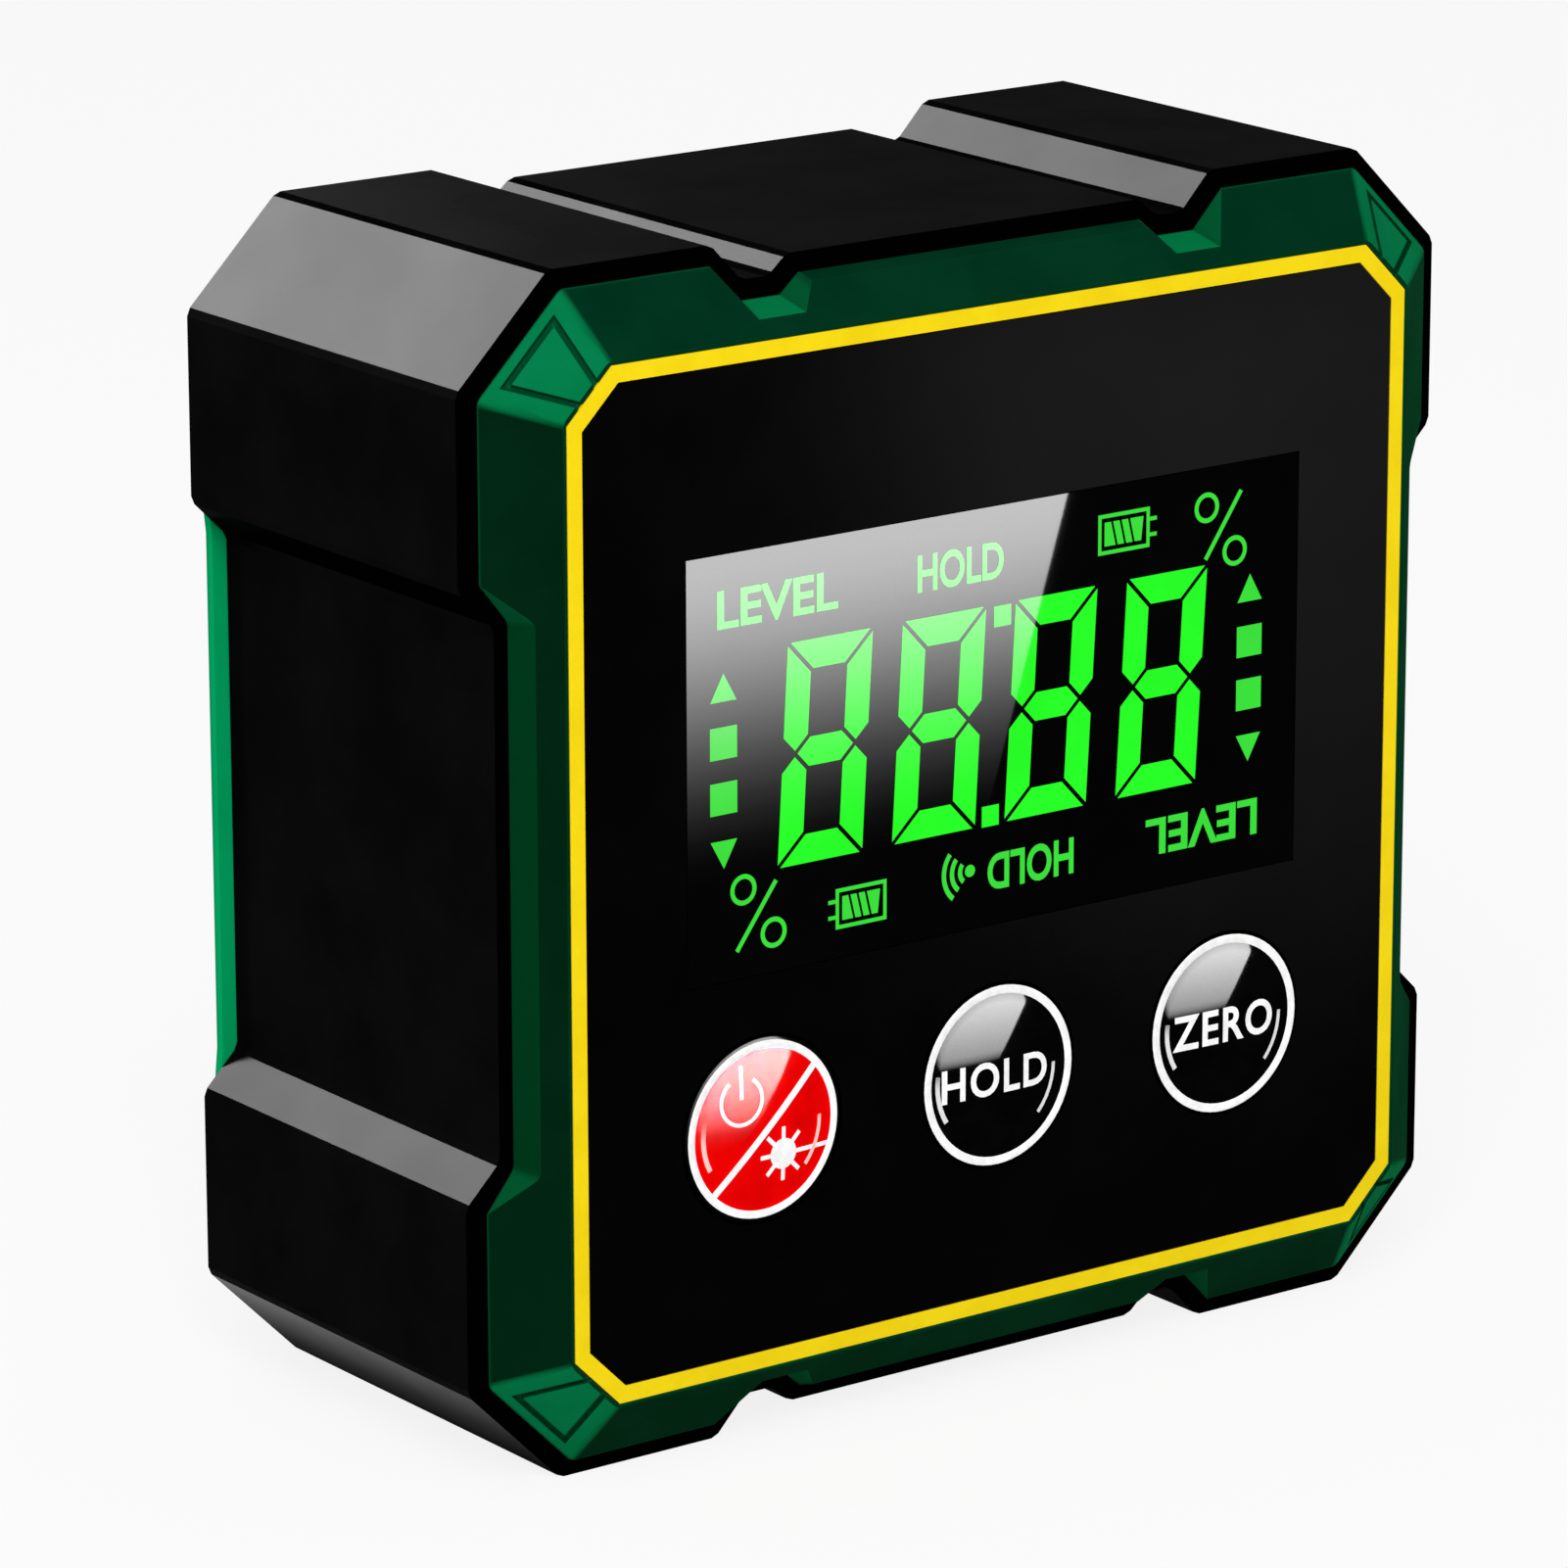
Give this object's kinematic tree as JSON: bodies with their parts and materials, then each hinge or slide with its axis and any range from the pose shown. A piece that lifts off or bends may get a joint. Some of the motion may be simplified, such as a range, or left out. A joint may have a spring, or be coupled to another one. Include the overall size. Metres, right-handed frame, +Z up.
{
  "type": "laser angle finder",
  "caption": "Palm-sized square angle finder with a black band, green shells, a lit display, round push buttons, a laser window in its right side and a battery door at the back.",
  "frame": {"origin": "middle of the footprint, on the surface that the base pads stand on", "axes": "+X to the right when facing the display, where the laser leaves; +Y from the display towards the battery door; +Z up"},
  "size_m": [0.06, 0.0294, 0.06],
  "materials": {
    "band": "satin black moulding",
    "green_shell": "satin dark green moulding",
    "yellow_trim": "satin yellow moulding",
    "face_black": "black with a soft sheen",
    "window_glass": "clear over black, polished",
    "display_glass": "black display glass",
    "light_guide": "milky white",
    "dark_moulding": "moulded",
    "contact_rubber": "soft",
    "board": "lacquered circuit board",
    "component_black": "moulded",
    "capacitor_can": "satin",
    "brass": "turned",
    "lens": "polished",
    "laser_glass": "smoked, polished",
    "cell_sleeve": "printed sleeve in two plain fields",
    "contact_steel": "nickel plated",
    "lead_red": "soft insulation",
    "lead_black": "soft insulation",
    "screw_steel": "dark plated",
    "cap_red": "red with white signs",
    "cap_black": "black with white words",
    "switch_case": "moulded",
    "switch_stem": "moulded"
  },
  "bodies": {
    "housing": {"frame_band": "band", "front_bezel": "green_shell", "rear_cover": "green_shell", "trim_ring": "yellow_trim", "face_panel": "face_black", "display_window": "window_glass", "display_cell": "display_glass", "display_backlight": "light_guide", "display_frame": "dark_moulding", "contact_strip": "contact_rubber", "main_board": "board", "laser_driver_board": "board", "processor_chip": "component_black", "tilt_sensor": "component_black", "beeper": "component_black", "capacitor": "capacitor_can", "laser_barrel": "brass", "laser_lens": "lens", "laser_window": "laser_glass", "battery_upper": "cell_sleeve", "battery_lower": "cell_sleeve", "positive_plate": "contact_steel", "negative_plate": "contact_steel", "bridge_plate": "contact_steel", "bridge_spring": "contact_steel", "negative_spring": "contact_steel", "battery_lead_positive": "lead_red", "battery_lead_negative": "lead_black", "laser_leads": "lead_black", "case_screws": "screw_steel", "power_switch": "switch_case", "hold_switch": "switch_case", "zero_switch": "switch_case"},
    "power_key": {"power_button": "cap_red", "power_plunger": "switch_stem"},
    "hold_key": {"hold_button": "cap_black", "hold_plunger": "switch_stem"},
    "zero_key": {"zero_button": "cap_black", "zero_plunger": "switch_stem"},
    "door": {"battery_door": "green_shell"}
  },
  "joints": [
    {"name": "power_press", "type": "slide", "parent": "housing", "child": "power_key", "axis": [0, 1, 0], "range_m": [0, 0.0004], "stiffness_N_per_m": 1200, "springref_m": -0.0004},
    {"name": "hold_press", "type": "slide", "parent": "housing", "child": "hold_key", "axis": [0, 1, 0], "range_m": [0, 0.0004], "stiffness_N_per_m": 1200, "springref_m": -0.0004},
    {"name": "zero_press", "type": "slide", "parent": "housing", "child": "zero_key", "axis": [0, 1, 0], "range_m": [0, 0.0004], "stiffness_N_per_m": 1200, "springref_m": -0.0004},
    {"name": "battery_door_swing", "type": "hinge", "parent": "housing", "child": "door", "pos_m": [0, 0.0145, 0.0179], "axis": [-1, 0, 0], "range_deg": [0, 75]}
  ]
}
